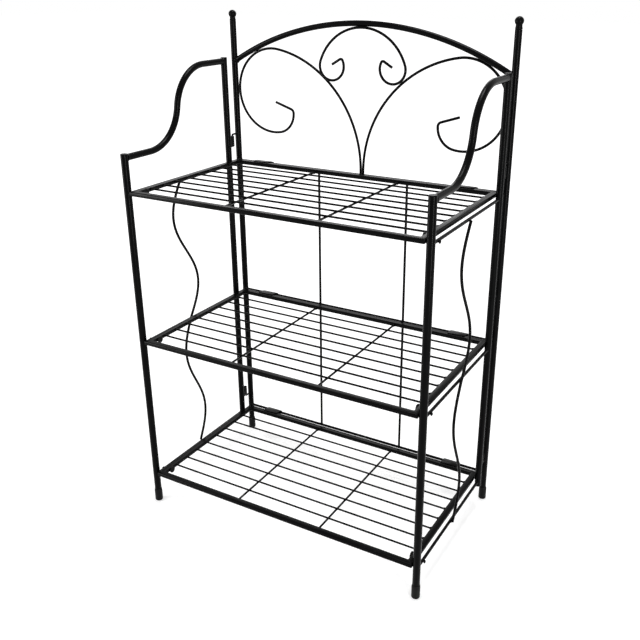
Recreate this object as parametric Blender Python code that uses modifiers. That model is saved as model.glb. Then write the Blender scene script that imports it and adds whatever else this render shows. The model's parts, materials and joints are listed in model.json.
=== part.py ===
"""A folding three-tier plant stand of black steel tube and wire.

In metres, with +Z up: the stand is on its feet at Z = 0, centred, and its front faces -Y.
"""

import math

import bmesh
import bpy
from mathutils import Matrix, Vector

# Clearance left between pieces that touch
GAP = 0.0003

# Overall layout, between tube centres
HALF_WIDTH = 0.300
DEPTH = 0.3433
FOLD_GAP = 0.0368
FIRST_TIER = 0.0688
LOWER_BAY = 0.303
UPPER_BAY = 0.298

# Tubes and their walls
LEG_RADIUS = 0.0070
POST_RADIUS = 0.0065
ARM_RADIUS = 0.0063
ARCH_RADIUS = 0.0055
TUBE_WALL = 0.0012

# Plastic feet and ball finials
FOOT_RADIUS = 0.0080
FOOT_HEIGHT = 0.029
FOOT_FLOOR = 0.0045
FOOT_EDGE = 0.0020
BALL_RADIUS = 0.0080
NECK_HEIGHT = 0.0080
SPIGOT_LENGTH = 0.012

# Side frames
ARM_ABOVE_TIER = 0.0638
ARM_RISE = 0.1428
ARM_SWEEP = math.radians(80)
TUBE_STAND_UP = 0.0012
UPRIGHT_FOOT = 0.0150
BAR_RADIUS = 0.0029
WAVE_RADIUS = 0.0024
UPPER_SWING = 0.031
LOWER_SWING = 0.0245
PIN_FROM_LEG = 0.025
PIN_RADIUS = 0.0018
PIN_HEAD_RADIUS = 0.0034
PIN_HEAD = 0.0025
PIN_UNDER_RAIL = 0.0030
PIN_UNDER_BAR = 0.0012

# Side hinges
HINGE_REACH = 0.0155
HINGE_PIN_RADIUS = 0.0020
HINGE_STRAP = 0.0016
HINGE_HEIGHT = 0.022
UPPER_HINGE = 0.041
LOWER_HINGE = 0.043
HINGE_BEND = 0.0030

# Back frame
BACK_BAR_SET = 0.0038
BACK_BAR_DROP = 0.0015
WIRE_RADIUS = 0.0026
SCROLL_STEM = 0.0106
SCROLL_BENDS = ((0.228, 80.6), (0.0837, 199.5), (0.0405, 81.5), (0.0085, 70.5))
SCROLL_TAIL = 0.0385
CURL_BENDS = ((0.0964, 70.2), (0.0267, 226), (0.0042, 94.6))
CURL_TAIL = 0.0200
ARCH_RISE = 0.0820
POST_UNDER_CROWN = 0.003

# Shelves
RAIL_WIDTH = 0.0125
RAIL_HEIGHT = 0.0085
RAIL_EDGE = 0.0012
SIDE_CLEARANCE = 0.0005
HINGE_TO_RAIL = 0.019
SLAT_COUNT = 8
SLAT_RADIUS = 0.0019
CROSS_RADIUS = 0.0021
SLAT_LIFT = 0.0010
WELD_SINK = 0.0010
CLIP_LENGTH = 0.036
CLIP_INSET = 0.072
CLIP_STRAP = 0.0015
CLIP_LAP = 0.0080
BUMPER_RADIUS = 0.0070
BUMPER_DEPTH = 0.0032
BUMPER_SHANK = 0.0011
BUMPER_DROP = 0.0016

# Facets: the largest distance between a bend and its straight pieces, and counts of flats
CHORD_ERROR = 0.0004
TUBE_SIDES = 16
TOOL_SIDES = 32
SHARP_ANGLE = math.radians(65)
WAVE_STEPS = 16

# Places that follow from the sizes
FRONT_Y = -DEPTH / 2
BACK_Y = DEPTH / 2
UPRIGHT_Y = BACK_Y - FOLD_GAP
MID_SIDE_Y = (FRONT_Y + UPRIGHT_Y) / 2
HINGE_Y = UPRIGHT_Y + HINGE_REACH
BACK_BAR_Y = BACK_Y - BACK_BAR_SET
WIRE_Y = BACK_BAR_Y + BAR_RADIUS + GAP + WIRE_RADIUS
CURL_Y = WIRE_Y - 2 * WIRE_RADIUS - GAP
TIERS = {
    "bottom": FIRST_TIER,
    "middle": FIRST_TIER + LOWER_BAY,
    "top": FIRST_TIER + LOWER_BAY + UPPER_BAY,
}
BACK_BARS = {tier: level - BACK_BAR_DROP for tier, level in TIERS.items()}
SIDE_BAR_DROP = RAIL_HEIGHT / 2 + GAP + PIN_RADIUS - PIN_UNDER_BAR
ARM_LOW = TIERS["top"] + ARM_ABOVE_TIER
ARM_HIGH = ARM_LOW + ARM_RISE
LEG_TOP = ARM_LOW + ARM_RADIUS + TUBE_STAND_UP
UPRIGHT_TOP = ARM_HIGH + ARM_RADIUS + TUBE_STAND_UP
UPRIGHT_BOTTOM = FIRST_TIER - UPRIGHT_FOOT
SHELF_HALF = HALF_WIDTH - max(LEG_RADIUS, POST_RADIUS) - SIDE_CLEARANCE
RAIL_INNER_X = SHELF_HALF - RAIL_WIDTH
SHELF_FRONT = FRONT_Y - RAIL_WIDTH / 2
SHELF_REAR = BACK_BAR_Y - HINGE_TO_RAIL + RAIL_WIDTH / 2
BLACK = (0.012, 0.012, 0.013, 1.0)
BLACK_PLASTIC = (0.016, 0.016, 0.016, 1.0)


def clear_scene():
    """Removes what the start-up file holds and makes the two collections."""
    for old in list(bpy.data.objects):
        bpy.data.objects.remove(old, do_unlink=True)
    made = []
    for name in ("plant_stand", "cutters"):
        group = bpy.data.collections.new(name)
        bpy.context.scene.collection.children.link(group)
        made.append(group)
    return made


STAND, CUTTERS = clear_scene()


def finish(obj, plastic=False):
    """Puts an object in the stand's collection with a material of its own."""
    STAND.objects.link(obj)
    mat = bpy.data.materials.new(obj.name + "_finish")
    mat.use_nodes = True
    shader = mat.node_tree.nodes["Principled BSDF"]
    shader.inputs["Base Color"].default_value = BLACK_PLASTIC if plastic else BLACK
    shader.inputs["Roughness"].default_value = 0.5 if plastic else 0.35
    shader.inputs["Metallic"].default_value = 0.0
    obj.data.materials.append(mat)
    return obj


def as_cutter(obj):
    """Puts an object among the cutters, where it is never rendered."""
    CUTTERS.objects.link(obj)
    obj.hide_render = True
    obj.display_type = "WIRE"
    return obj


def from_bmesh(name, bm):
    """Turns a bmesh into an object that is in no collection yet."""
    bmesh.ops.recalc_face_normals(bm, faces=bm.faces)
    mesh = bpy.data.meshes.new(name)
    bm.to_mesh(mesh)
    bm.free()
    mesh.shade_smooth()
    mesh.set_sharp_from_angle(angle=SHARP_ANGLE)
    return bpy.data.objects.new(name, mesh)


def add_rod(bm, start, end, radius, sides, rolled=False):
    """Adds a round rod between two points to a bmesh; a rolled one has its flats turned by half a flat."""
    a = Vector(start)
    b = Vector(end)
    turn = (b - a).to_track_quat("Z", "Y").to_matrix().to_4x4()
    roll = Matrix.Rotation(math.pi / sides if rolled else 0.0, 4, "Z")
    place = Matrix.Translation((a + b) / 2) @ turn @ roll
    bmesh.ops.create_cone(
        bm,
        cap_ends=True,
        segments=sides,
        radius1=radius,
        radius2=radius,
        depth=(b - a).length,
        matrix=place,
    )


def rod(name, start, end, radius, sides, rolled=False):
    """A round rod between two points."""
    bm = bmesh.new()
    add_rod(bm, start, end, radius, sides, rolled)
    return from_bmesh(name, bm)


def turned(name, x, y, profile, closed=False, sides=TUBE_SIDES):
    """A turned piece about a vertical axis, from a profile of radius and height."""
    mesh = bpy.data.meshes.new(name)
    verts = [(r, 0.0, z) for r, z in profile]
    edges = [(i, i + 1) for i in range(len(verts) - 1)]
    if closed:
        edges.append((len(verts) - 1, 0))
    mesh.from_pydata(verts, edges, [])
    obj = bpy.data.objects.new(name, mesh)
    obj.location = (x, y, 0.0)
    spin = obj.modifiers.new("turn", "SCREW")
    spin.axis = "Z"
    spin.angle = 2 * math.pi
    spin.steps = sides
    spin.render_steps = sides
    spin.use_merge_vertices = True
    spin.merge_threshold = 0.00005
    return obj


def bent_wire(name, points, radius, resolution=2):
    """A round bar along a line of points, with flat ends."""
    curve = bpy.data.curves.new(name, "CURVE")
    curve.dimensions = "3D"
    curve.bevel_depth = radius
    curve.bevel_resolution = resolution
    curve.use_fill_caps = True
    spline = curve.splines.new("POLY")
    spline.points.add(len(points) - 1)
    for point, place in zip(spline.points, points):
        point.co = (place[0], place[1], place[2], 1.0)
    return bpy.data.objects.new(name, curve)


def as_mesh(obj):
    """A plain mesh object with the shape of a curve object, which is removed."""
    bpy.context.scene.collection.objects.link(obj)
    bpy.context.view_layer.update()
    graph = bpy.context.evaluated_depsgraph_get()
    mesh = bpy.data.meshes.new_from_object(obj.evaluated_get(graph))
    name = obj.name
    place = obj.matrix_world.copy()
    bpy.data.objects.remove(obj, do_unlink=True)
    bm = bmesh.new()
    bm.from_mesh(mesh)
    bmesh.ops.remove_doubles(bm, verts=bm.verts, dist=0.00001)
    bmesh.ops.recalc_face_normals(bm, faces=bm.faces)
    bm.to_mesh(mesh)
    bm.free()
    mesh.shade_smooth()
    mesh.set_sharp_from_angle(angle=SHARP_ANGLE)
    made = bpy.data.objects.new(name, mesh)
    made.matrix_world = place
    return made


def tube_tool(name, x, y, radius):
    """A cutter for an end that is coped to an upright tube, with the clearance round the tube."""
    low = (x, y, -FOOT_HEIGHT)
    high = (x, y, TIERS["top"] * 2)
    return as_cutter(rod(name, low, high, radius + GAP, TOOL_SIDES))


def cut(obj, tool, how="DIFFERENCE"):
    """Cuts an object with another, or joins the other to it."""
    step = obj.modifiers.new(how.lower(), "BOOLEAN")
    step.operation = how
    step.solver = "EXACT"
    step.object = tool
    return obj


def bend_steps(radius, angle):
    """How many straight pieces a bend needs."""
    share = min(0.5, CHORD_ERROR / radius)
    return max(3, math.ceil(angle / (2 * math.acos(1 - share))))


def bend_path(start, heading, runs):
    """Points along a wire bent clockwise: a run is a length with no angle, or a radius with one."""
    x, z = start
    points = [(x, z)]
    for size, degrees in runs:
        if degrees == 0:
            x += size * math.cos(heading)
            z += size * math.sin(heading)
            points.append((x, z))
            continue
        angle = math.radians(degrees)
        centre_x = x + size * math.sin(heading)
        centre_z = z - size * math.cos(heading)
        count = bend_steps(size, angle)
        for i in range(1, count + 1):
            now = heading - angle * i / count
            x = centre_x - size * math.sin(now)
            z = centre_z + size * math.cos(now)
            points.append((x, z))
        heading -= angle
    return points


def offset_line(path, distance):
    """A line of 2-D points moved sideways, to its left."""
    moved = []
    for i, (u, v) in enumerate(path):
        before = Vector(path[max(i - 1, 0)])
        after = Vector(path[min(i + 1, len(path) - 1)])
        run = (after - before).normalized()
        moved.append((u - run.y * distance, v + run.x * distance))
    return moved


def strap(name, path, thickness, length):
    """A flat strip bent along a 2-D path: its edge is a filled outline, extruded to the strip's length."""
    outline = offset_line(path, thickness / 2) + offset_line(path, -thickness / 2)[::-1]
    curve = bpy.data.curves.new(name, "CURVE")
    curve.dimensions = "2D"
    curve.fill_mode = "BOTH"
    curve.extrude = length / 2
    spline = curve.splines.new("POLY")
    spline.points.add(len(outline) - 1)
    for point, (u, v) in zip(spline.points, outline):
        point.co = (u, v, 0.0, 1.0)
    spline.use_cyclic_u = True
    return bpy.data.objects.new(name, curve)


def box(name, low, high):
    """A box between two corners."""
    a = Vector(low)
    b = Vector(high)
    size = Matrix.Diagonal((b - a).to_4d())
    size[3][3] = 1.0
    bm = bmesh.new()
    bmesh.ops.create_cube(bm, size=1.0, matrix=Matrix.Translation((a + b) / 2) @ size)
    return from_bmesh(name, bm)


def wrap(radius, first, sweep, count):
    """Points round a circle, clockwise from the first angle in degrees."""
    points = []
    for i in range(count + 1):
        angle = math.radians(first - sweep * i / count)
        points.append((radius * math.cos(angle), radius * math.sin(angle)))
    return points


def axis_empty(name, place):
    """An empty on a joint's axis, to which the joint's pieces are parented."""
    empty = bpy.data.objects.new(name, None)
    empty.location = place
    empty.empty_display_size = 0.02
    STAND.objects.link(empty)
    return empty


def hang_on(empty, pieces):
    """Parents pieces to an empty without moving them."""
    bpy.context.view_layer.update()
    for piece in pieces:
        piece.parent = empty
        piece.matrix_parent_inverse = empty.matrix_world.inverted()


def tube_open(radius, bottom, top):
    """Profile of a tube that is open at both ends."""
    inner = radius - TUBE_WALL
    return [(radius, top), (radius, bottom), (inner, bottom), (inner, top)]


def tube_shut(radius, bottom, top):
    """Profile of a tube that is shut at the top."""
    inner = radius - TUBE_WALL
    shut = top - TUBE_WALL
    return [(0.0, top), (radius, top), (radius, bottom), (inner, bottom), (inner, shut), (0.0, shut)]


def foot_profile(tube_radius):
    """Profile of a cap that takes a tube and stands on the floor."""
    hole = tube_radius + GAP
    outer = max(FOOT_RADIUS, hole + TUBE_WALL / 2)
    inside = [(0.0, FOOT_FLOOR), (hole, FOOT_FLOOR), (hole, FOOT_HEIGHT)]
    outside = [(outer, FOOT_HEIGHT), (outer, FOOT_EDGE)]
    edge = [(outer - FOOT_EDGE * 0.3, FOOT_EDGE * 0.3), (outer - FOOT_EDGE, 0.0), (0.0, 0.0)]
    return inside + outside + edge


def finial_profile(post_top):
    """Profile of a ball on a short neck, with a spigot that plugs the post."""
    seat = post_top + GAP
    collar = POST_RADIUS
    drop = math.sqrt(max(BALL_RADIUS ** 2 - (collar * 0.93) ** 2, 0.0))
    centre = seat + NECK_HEIGHT + drop
    low = -math.asin(drop / BALL_RADIUS)
    points = [(0.0, centre + BALL_RADIUS)]
    for i in range(1, 8):
        angle = math.pi / 2 + (low - math.pi / 2) * i / 7
        points.append((BALL_RADIUS * math.cos(angle), centre + BALL_RADIUS * math.sin(angle)))
    points.append((collar * 0.94, seat + NECK_HEIGHT / 2))
    points.append((collar, seat + NECK_HEIGHT / 8))
    points.append((collar, seat))
    plug = POST_RADIUS - TUBE_WALL - GAP
    points += [(plug, seat), (plug, post_top - SPIGOT_LENGTH), (0.0, post_top - SPIGOT_LENGTH)]
    return points


def scroll_lines():
    """The big scroll and the arch that lies on it, as lines in the plane of the back frame."""
    stem_x = WIRE_RADIUS + GAP
    stem_z = BACK_BARS["top"] - BAR_RADIUS
    reach = HALF_WIDTH - POST_RADIUS - WIRE_RADIUS - GAP
    runs = [(SCROLL_STEM, 0)] + list(SCROLL_BENDS) + [(SCROLL_TAIL, 0)]
    drawn = bend_path((0.0, 0.0), math.pi / 2, runs)
    scale = (reach - stem_x) / max(x for x, z in drawn)
    scroll = [(stem_x + x * scale, stem_z + z * scale) for x, z in drawn]
    arch_bend = (HALF_WIDTH ** 2 + ARCH_RISE ** 2) / (2 * ARCH_RISE)
    apart = ARCH_RADIUS + WIRE_RADIUS + GAP
    level = math.sqrt(apart ** 2 - (WIRE_Y - BACK_Y) ** 2)
    centre = max(z - math.sqrt((arch_bend - level) ** 2 - x ** 2) for x, z in scroll)
    half = math.asin(HALF_WIDTH / arch_bend)
    count = bend_steps(arch_bend, 2 * half)
    arch = []
    for i in range(count + 1):
        angle = half * (2 * i / count - 1)
        arch.append((arch_bend * math.sin(angle), centre + arch_bend * math.cos(angle)))
    return scroll, arch, centre + arch_bend, scale


SCROLL, ARCH, CROWN, CREST_SCALE = scroll_lines()
POST_TOP = CROWN - POST_UNDER_CROWN


def build_back_frame():
    """Posts, finials, feet, arch, bars, upright wires and scrolls: the part that stays put."""
    post_tools = []
    for side, sign in (("left", -1), ("right", 1)):
        x = sign * HALF_WIDTH
        tube = tube_open(POST_RADIUS, FOOT_FLOOR + GAP, POST_TOP)
        finish(turned(side + "_back_post", x, BACK_Y, tube, closed=True))
        finish(turned(side + "_finial", x, BACK_Y, finial_profile(POST_TOP)))
        finish(turned(side + "_back_foot", x, BACK_Y, foot_profile(POST_RADIUS)), plastic=True)
        post_tools.append(tube_tool(side + "_post_tool", x, BACK_Y, POST_RADIUS))
        wire_x = sign * HALF_WIDTH / 3
        foot = (wire_x, WIRE_Y, BACK_BARS["bottom"] - BAR_RADIUS)
        head = (wire_x, WIRE_Y, BACK_BARS["top"])
        finish(rod(side + "_back_wire", foot, head, WIRE_RADIUS, 8))
        finish(bent_wire(side + "_scroll", [(sign * u, WIRE_Y, v) for u, v in SCROLL], WIRE_RADIUS))
    arch = as_mesh(bent_wire("arch_rail", [(u, BACK_Y, v) for u, v in ARCH], ARCH_RADIUS, 4))
    for tool in post_tools:
        cut(arch, tool)
    finish(arch)
    for tier, z in BACK_BARS.items():
        ends = [(sign * HALF_WIDTH, BACK_BAR_Y, z) for sign in (-1, 1)]
        bar = rod(tier + "_back_bar", ends[0], ends[1], BAR_RADIUS, 12)
        for tool in post_tools:
            cut(bar, tool)
        finish(bar)
    build_curl()


def build_curl():
    """The small double scroll under the crown of the arch."""
    apart = ARCH_RADIUS + WIRE_RADIUS + GAP
    crown = CROWN - math.sqrt(max(apart ** 2 - (CURL_Y - BACK_Y) ** 2, 0.0))
    runs = [(size * CREST_SCALE, degrees) for size, degrees in CURL_BENDS]
    runs.append((CURL_TAIL * CREST_SCALE, 0))
    half = bend_path((0.0, crown), 0.0, runs)
    whole = [(-u, v) for u, v in reversed(half[1:])] + half
    finish(bent_wire("crown_scroll", [(u, CURL_Y, v) for u, v in whole], WIRE_RADIUS))


def arm_path():
    """The side rail's line: level, up through two equal bends, and level again."""
    bend = ARM_RISE / 2 / (1 - math.cos(ARM_SWEEP))
    half_run = bend * math.sin(ARM_SWEEP)
    count = bend_steps(bend, ARM_SWEEP)
    points = [(FRONT_Y, ARM_LOW)]
    for i in range(count + 1):
        angle = ARM_SWEEP * i / count
        drop = bend * (1 - math.cos(angle))
        points.append((MID_SIDE_Y - half_run + bend * math.sin(angle), ARM_LOW + drop))
    for i in range(1, count + 1):
        angle = ARM_SWEEP * (1 - i / count)
        drop = bend * (1 - math.cos(angle))
        points.append((MID_SIDE_Y + half_run - bend * math.sin(angle), ARM_HIGH - drop))
    points.append((UPRIGHT_Y, ARM_HIGH))
    return points


def wave_path():
    """The wavy wire's line: one full wave in each bay, from the top bar to the bottom one."""
    points = []
    levels = [TIERS[tier] - SIDE_BAR_DROP for tier in ("top", "middle", "bottom")]
    for high, low, reach in zip(levels, levels[1:], (UPPER_SWING, LOWER_SWING)):
        first = 0 if not points else 1
        for i in range(first, WAVE_STEPS + 1):
            share = i / WAVE_STEPS
            swing = reach * math.sin(2 * math.pi * share)
            points.append((MID_SIDE_Y - swing, high + (low - high) * share))
    return points


def hinge_strap(name, x, inward, z):
    """A strip on the upright, bent round the hinge pin; inward is the sign of X to the middle."""
    ring = HINGE_PIN_RADIUS + GAP + HINGE_STRAP / 2
    near = math.sqrt(max(POST_RADIUS ** 2 - (ring - HINGE_STRAP / 2) ** 2, 0.0)) + GAP
    path = [(ring, near - HINGE_REACH), (ring, -ring)]
    path += [(-u, v) for u, v in wrap(ring, 180, 280, 12)]
    strip = strap(name, [(inward * u, v) for u, v in path], HINGE_STRAP, HINGE_HEIGHT)
    strip.location = (x, HINGE_Y, z)
    return strip


def hinge_pin(name, x, z, down):
    """A pin bent from the post into the strap; down is 1 if it points down and -1 if it points up."""
    ring_top = HINGE_HEIGHT / 2 + HINGE_BEND + GAP
    arm_z = z + down * ring_top
    points = [(x, BACK_Y - POST_RADIUS - GAP, arm_z)]
    for i in range(5):
        angle = math.pi / 2 * i / 4
        y = HINGE_Y + HINGE_BEND * (1 - math.sin(angle))
        points.append((x, y, arm_z - down * HINGE_BEND * (1 - math.cos(angle))))
    points.append((x, HINGE_Y, z - down * HINGE_HEIGHT * 0.4))
    return bent_wire(name, points, HINGE_PIN_RADIUS)


def build_side(side, sign):
    """One side frame: leg, foot, upright, curved rail, bars with support pins, wavy wire and straps."""
    x = sign * HALF_WIDTH
    leg_tube = tube_shut(LEG_RADIUS, FOOT_FLOOR + GAP, LEG_TOP)
    upright_tube = tube_shut(POST_RADIUS, UPRIGHT_BOTTOM, UPRIGHT_TOP)
    pieces = [
        finish(turned(side + "_front_leg", x, FRONT_Y, leg_tube)),
        finish(turned(side + "_front_foot", x, FRONT_Y, foot_profile(LEG_RADIUS)), plastic=True),
        finish(turned(side + "_rear_upright", x, UPRIGHT_Y, upright_tube)),
    ]
    arm = as_mesh(bent_wire(side + "_arm_rail", [(x, u, v) for u, v in arm_path()], ARM_RADIUS, 4))
    cut(arm, tube_tool(side + "_leg_tool", x, FRONT_Y, LEG_RADIUS))
    cut(arm, tube_tool(side + "_upright_tool", x, UPRIGHT_Y, POST_RADIUS))
    pieces.append(finish(arm))
    for tier, level in TIERS.items():
        z = level - SIDE_BAR_DROP
        front = (x, FRONT_Y + LEG_RADIUS + GAP, z)
        rear = (x, UPRIGHT_Y - POST_RADIUS - GAP, z)
        bar = rod("_".join((side, tier, "bar")), front, rear, BAR_RADIUS, 12)
        pin = support_pin("_".join((side, tier, "pin_tool")), sign, z - PIN_UNDER_BAR)
        cut(bar, as_cutter(pin), "UNION")
        pieces.append(finish(bar))
    wave_x = sign * (HALF_WIDTH + BAR_RADIUS + GAP + WAVE_RADIUS)
    wave = [(wave_x, u, v) for u, v in wave_path()]
    pieces.append(finish(bent_wire(side + "_wave_wire", wave, WAVE_RADIUS)))
    upper = TIERS["top"] + UPPER_HINGE
    lower = TIERS["bottom"] + LOWER_HINGE
    for level, z, down in (("upper", upper, 1), ("lower", lower, -1)):
        pieces.append(finish(hinge_strap("_".join((side, level, "hinge_strap")), x, -sign, z)))
        finish(hinge_pin("_".join((side, level, "hinge_pin")), x, z, down))
    hang_on(axis_empty(side + "_side_axis", (x, HINGE_Y, (upper + lower) / 2)), pieces)


def support_pin(name, sign, z):
    """The pin across a side bar that carries a shelf's front corner, with a head on the outside."""
    y = FRONT_Y + PIN_FROM_LEG
    head = HALF_WIDTH + BAR_RADIUS + 2 * GAP
    inner = SHELF_HALF - PIN_UNDER_RAIL
    spots = [(sign * x, y, z) for x in (inner, head, head + PIN_HEAD / 2, head + PIN_HEAD)]
    pin = rod(name, spots[0], spots[2], PIN_RADIUS, 10, rolled=True)
    knob = rod(name + "_head", spots[1], spots[3], PIN_HEAD_RADIUS, 12)
    return cut(pin, as_cutter(knob), "UNION")


def build_shelf(tier, level):
    """One shelf: frame, wire deck, hinge clips on the back bar and the bumpers near its front corners."""
    pieces = [shelf_frame(tier, level), shelf_deck(tier, level)]
    for side, sign in (("left", -1), ("right", 1)):
        pieces.append(hinge_clip("_".join((tier, side, "clip")), sign, BACK_BARS[tier]))
        pieces.append(shelf_bumper("_".join((tier, side, "bumper")), sign, level))
    hang_on(axis_empty(tier + "_shelf_axis", (0.0, BACK_BAR_Y, BACK_BARS[tier])), pieces)


def shelf_frame(tier, level):
    """The rectangular rail round a shelf, bored for its two bumpers."""
    low = level - RAIL_HEIGHT / 2
    high = level + RAIL_HEIGHT / 2
    frame = box(tier + "_shelf_frame", (-SHELF_HALF, SHELF_FRONT, low), (SHELF_HALF, SHELF_REAR, high))
    inside = box(
        tier + "_inside_tool",
        (-RAIL_INNER_X, SHELF_FRONT + RAIL_WIDTH, low - RAIL_HEIGHT),
        (RAIL_INNER_X, SHELF_REAR - RAIL_WIDTH, high + RAIL_HEIGHT),
    )
    cut(frame, as_cutter(inside))
    edge = frame.modifiers.new("edge", "BEVEL")
    edge.width = RAIL_EDGE
    edge.segments = 1
    edge.limit_method = "ANGLE"
    edge.angle_limit = math.radians(40)
    y = FRONT_Y + PIN_FROM_LEG
    z = level - BUMPER_DROP
    for side, sign in (("left", -1), ("right", 1)):
        inner = (sign * (RAIL_INNER_X - RAIL_WIDTH), y, z)
        outer = (sign * (SHELF_HALF + RAIL_WIDTH), y, z)
        tool = rod("_".join((tier, side, "bore_tool")), inner, outer, BUMPER_SHANK + GAP, 16)
        cut(frame, as_cutter(tool))
    return finish(frame)


def shelf_deck(tier, level):
    """The wire deck: slats across the width, welded on two wires from front to back."""
    front = SHELF_FRONT + RAIL_WIDTH
    rear = SHELF_REAR - RAIL_WIDTH
    reach = RAIL_INNER_X - GAP
    slat_z = level + SLAT_LIFT
    cross_z = slat_z - SLAT_RADIUS - CROSS_RADIUS + WELD_SINK
    bm = bmesh.new()
    for i in range(SLAT_COUNT):
        y = front + (rear - front) * (i + 1) / (SLAT_COUNT + 1)
        add_rod(bm, (-reach, y, slat_z), (reach, y, slat_z), SLAT_RADIUS, 6)
    deck = from_bmesh(tier + "_shelf_deck", bm)
    bm = bmesh.new()
    for sign in (-1, 1):
        x = sign * RAIL_INNER_X / 3
        add_rod(bm, (x, front + GAP, cross_z), (x, rear - GAP, cross_z), CROSS_RADIUS, 6)
    cut(deck, as_cutter(from_bmesh(tier + "_cross_tool", bm)), "UNION")
    return finish(deck)


def hinge_clip(name, sign, bar_z):
    """A strip lapped over the rear rail and bent round the back bar."""
    ring = BAR_RADIUS + GAP + CLIP_STRAP / 2
    lap = BACK_BAR_DROP + RAIL_HEIGHT / 2 + GAP + CLIP_STRAP / 2
    rail_back = SHELF_REAR - BACK_BAR_Y
    path = [(rail_back - CLIP_LAP, lap), (rail_back + CLIP_STRAP, lap)]
    path += wrap(ring, 90, 270, 12)
    strip = strap(name, path, CLIP_STRAP, CLIP_LENGTH)
    strip.location = (sign * (HALF_WIDTH - CLIP_INSET), BACK_BAR_Y, bar_z)
    strip.rotation_euler = (math.pi / 2, 0.0, math.pi / 2)
    return finish(strip)


def shelf_bumper(name, sign, level):
    """A round bumper on the inner face of a side rail, with its shank in the rail's bore."""
    y = FRONT_Y + PIN_FROM_LEG
    inner = RAIL_INNER_X - GAP
    profile = [(0.0, inner - BUMPER_DEPTH), (BUMPER_RADIUS * 0.6, inner - BUMPER_DEPTH),
               (BUMPER_RADIUS, inner - BUMPER_DEPTH * 0.5), (BUMPER_RADIUS, inner),
               (BUMPER_SHANK, inner), (BUMPER_SHANK, SHELF_HALF), (0.0, SHELF_HALF)]
    bumper = turned(name, 0.0, y, [(r, -along) for r, along in profile], sides=12)
    bumper.location = (0.0, y, level - BUMPER_DROP)
    bumper.rotation_euler = (0.0, -sign * math.pi / 2, 0.0)
    return finish(bumper, plastic=True)


def main():
    """Builds the stand, one frame or shelf at a time."""
    build_back_frame()
    build_side("left", -1)
    build_side("right", 1)
    for tier, level in TIERS.items():
        build_shelf(tier, level)
    bpy.context.view_layer.update()


main()
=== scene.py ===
"""Looks of a folding three-tier plant stand in satin black steel tube and wire.

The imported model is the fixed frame. Each of its nodes is replaced, in the same place, by a smoother piece
that is bent, turned or folded as in a metal shop, and the joints get weld fillets and beads.
Lengths are in metres. Bends and wraps are in degrees.
"""

import json
import logging
import math
from collections.abc import Callable, Iterable, Sequence
from dataclasses import dataclass, field
from enum import Enum, IntEnum

import bpy
from mathutils import Matrix, Vector


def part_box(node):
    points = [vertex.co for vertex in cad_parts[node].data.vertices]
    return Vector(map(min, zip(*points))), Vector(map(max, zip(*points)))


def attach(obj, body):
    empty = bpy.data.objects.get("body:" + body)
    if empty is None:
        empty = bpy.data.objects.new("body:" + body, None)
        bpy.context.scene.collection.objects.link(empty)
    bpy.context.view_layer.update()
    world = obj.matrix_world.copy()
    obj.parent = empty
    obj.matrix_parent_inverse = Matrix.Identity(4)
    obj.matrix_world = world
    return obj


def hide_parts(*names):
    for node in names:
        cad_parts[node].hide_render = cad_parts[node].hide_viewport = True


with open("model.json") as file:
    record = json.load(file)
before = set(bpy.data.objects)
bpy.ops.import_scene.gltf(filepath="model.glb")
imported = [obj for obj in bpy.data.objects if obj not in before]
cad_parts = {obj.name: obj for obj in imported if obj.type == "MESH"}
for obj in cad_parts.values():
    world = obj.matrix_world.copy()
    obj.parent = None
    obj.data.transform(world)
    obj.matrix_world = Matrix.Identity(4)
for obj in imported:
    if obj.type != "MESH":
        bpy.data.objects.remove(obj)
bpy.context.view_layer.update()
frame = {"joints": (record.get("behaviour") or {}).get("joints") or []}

Piece = bpy.types.Object
Socket = bpy.types.NodeSocket
Pair = tuple[float, float]
Triple = tuple[float, float, float]
Profile = tuple[Pair, ...]

LOG = logging.getLogger("plant_stand")
RIM_ANGLE = math.radians(50)
SMOOTH_ANGLE = math.radians(40)
ACROSS = Vector((1, 0, 0))
BACKWARD = Vector((0, 1, 0))
UPWARD = Vector((0, 0, 1))


class Side(Enum):
    """The two sides of the stand, seen from the front."""

    LEFT = "left"
    RIGHT = "right"

    @property
    def sign(self) -> int:
        """The sign of X on this side."""
        return -1 if self is Side.LEFT else 1


class Tier(Enum):
    """The three levels that carry a shelf."""

    BOTTOM = "bottom"
    MIDDLE = "middle"
    TOP = "top"


class Slot(Enum):
    """The record's material slots."""

    STEEL = "black_steel"
    PLASTIC = "black_plastic"


class Ring(IntEnum):
    """How many corners the rings of a piece have."""

    TUBE = 32
    RAIL = 28
    PIN = 24
    BAR = 20
    WIRE = 16
    WELD = 14
    DECK = 12


def clear_bench() -> None:
    """Leaves edit mode and deselects everything."""
    if bpy.context.mode != "OBJECT":
        bpy.ops.object.mode_set(mode="OBJECT")
    bpy.ops.object.select_all(action="DESELECT")


def take(piece: Piece) -> None:
    """Makes one piece the only selected and active one."""
    clear_bench()
    piece.select_set(True)
    bpy.context.view_layer.objects.active = piece


def name_piece(name: str) -> Piece:
    """Names the object that was just added, puts its place into its mesh and returns it."""
    piece = bpy.context.object
    piece.name = name
    piece.data.name = name
    bpy.ops.object.transform_apply(location=True, rotation=True, scale=True)
    return piece


def pick_edges(piece: Piece, test: Callable[[Vector], bool]) -> None:
    """Selects, in edit mode, the edges whose middle passes a test.

    Args:
        piece: The piece in hand.
        test: Takes an edge's middle and tells if it is wanted.
    """
    bpy.ops.object.mode_set(mode="EDIT")
    bpy.ops.mesh.select_mode(type="EDGE")
    bpy.ops.mesh.select_all(action="DESELECT")
    bpy.ops.object.mode_set(mode="OBJECT")
    corners = piece.data.vertices
    for edge in piece.data.edges:
        first, second = edge.vertices
        edge.select = test((corners[first].co + corners[second].co) / 2)
    bpy.ops.object.mode_set(mode="EDIT")


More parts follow.
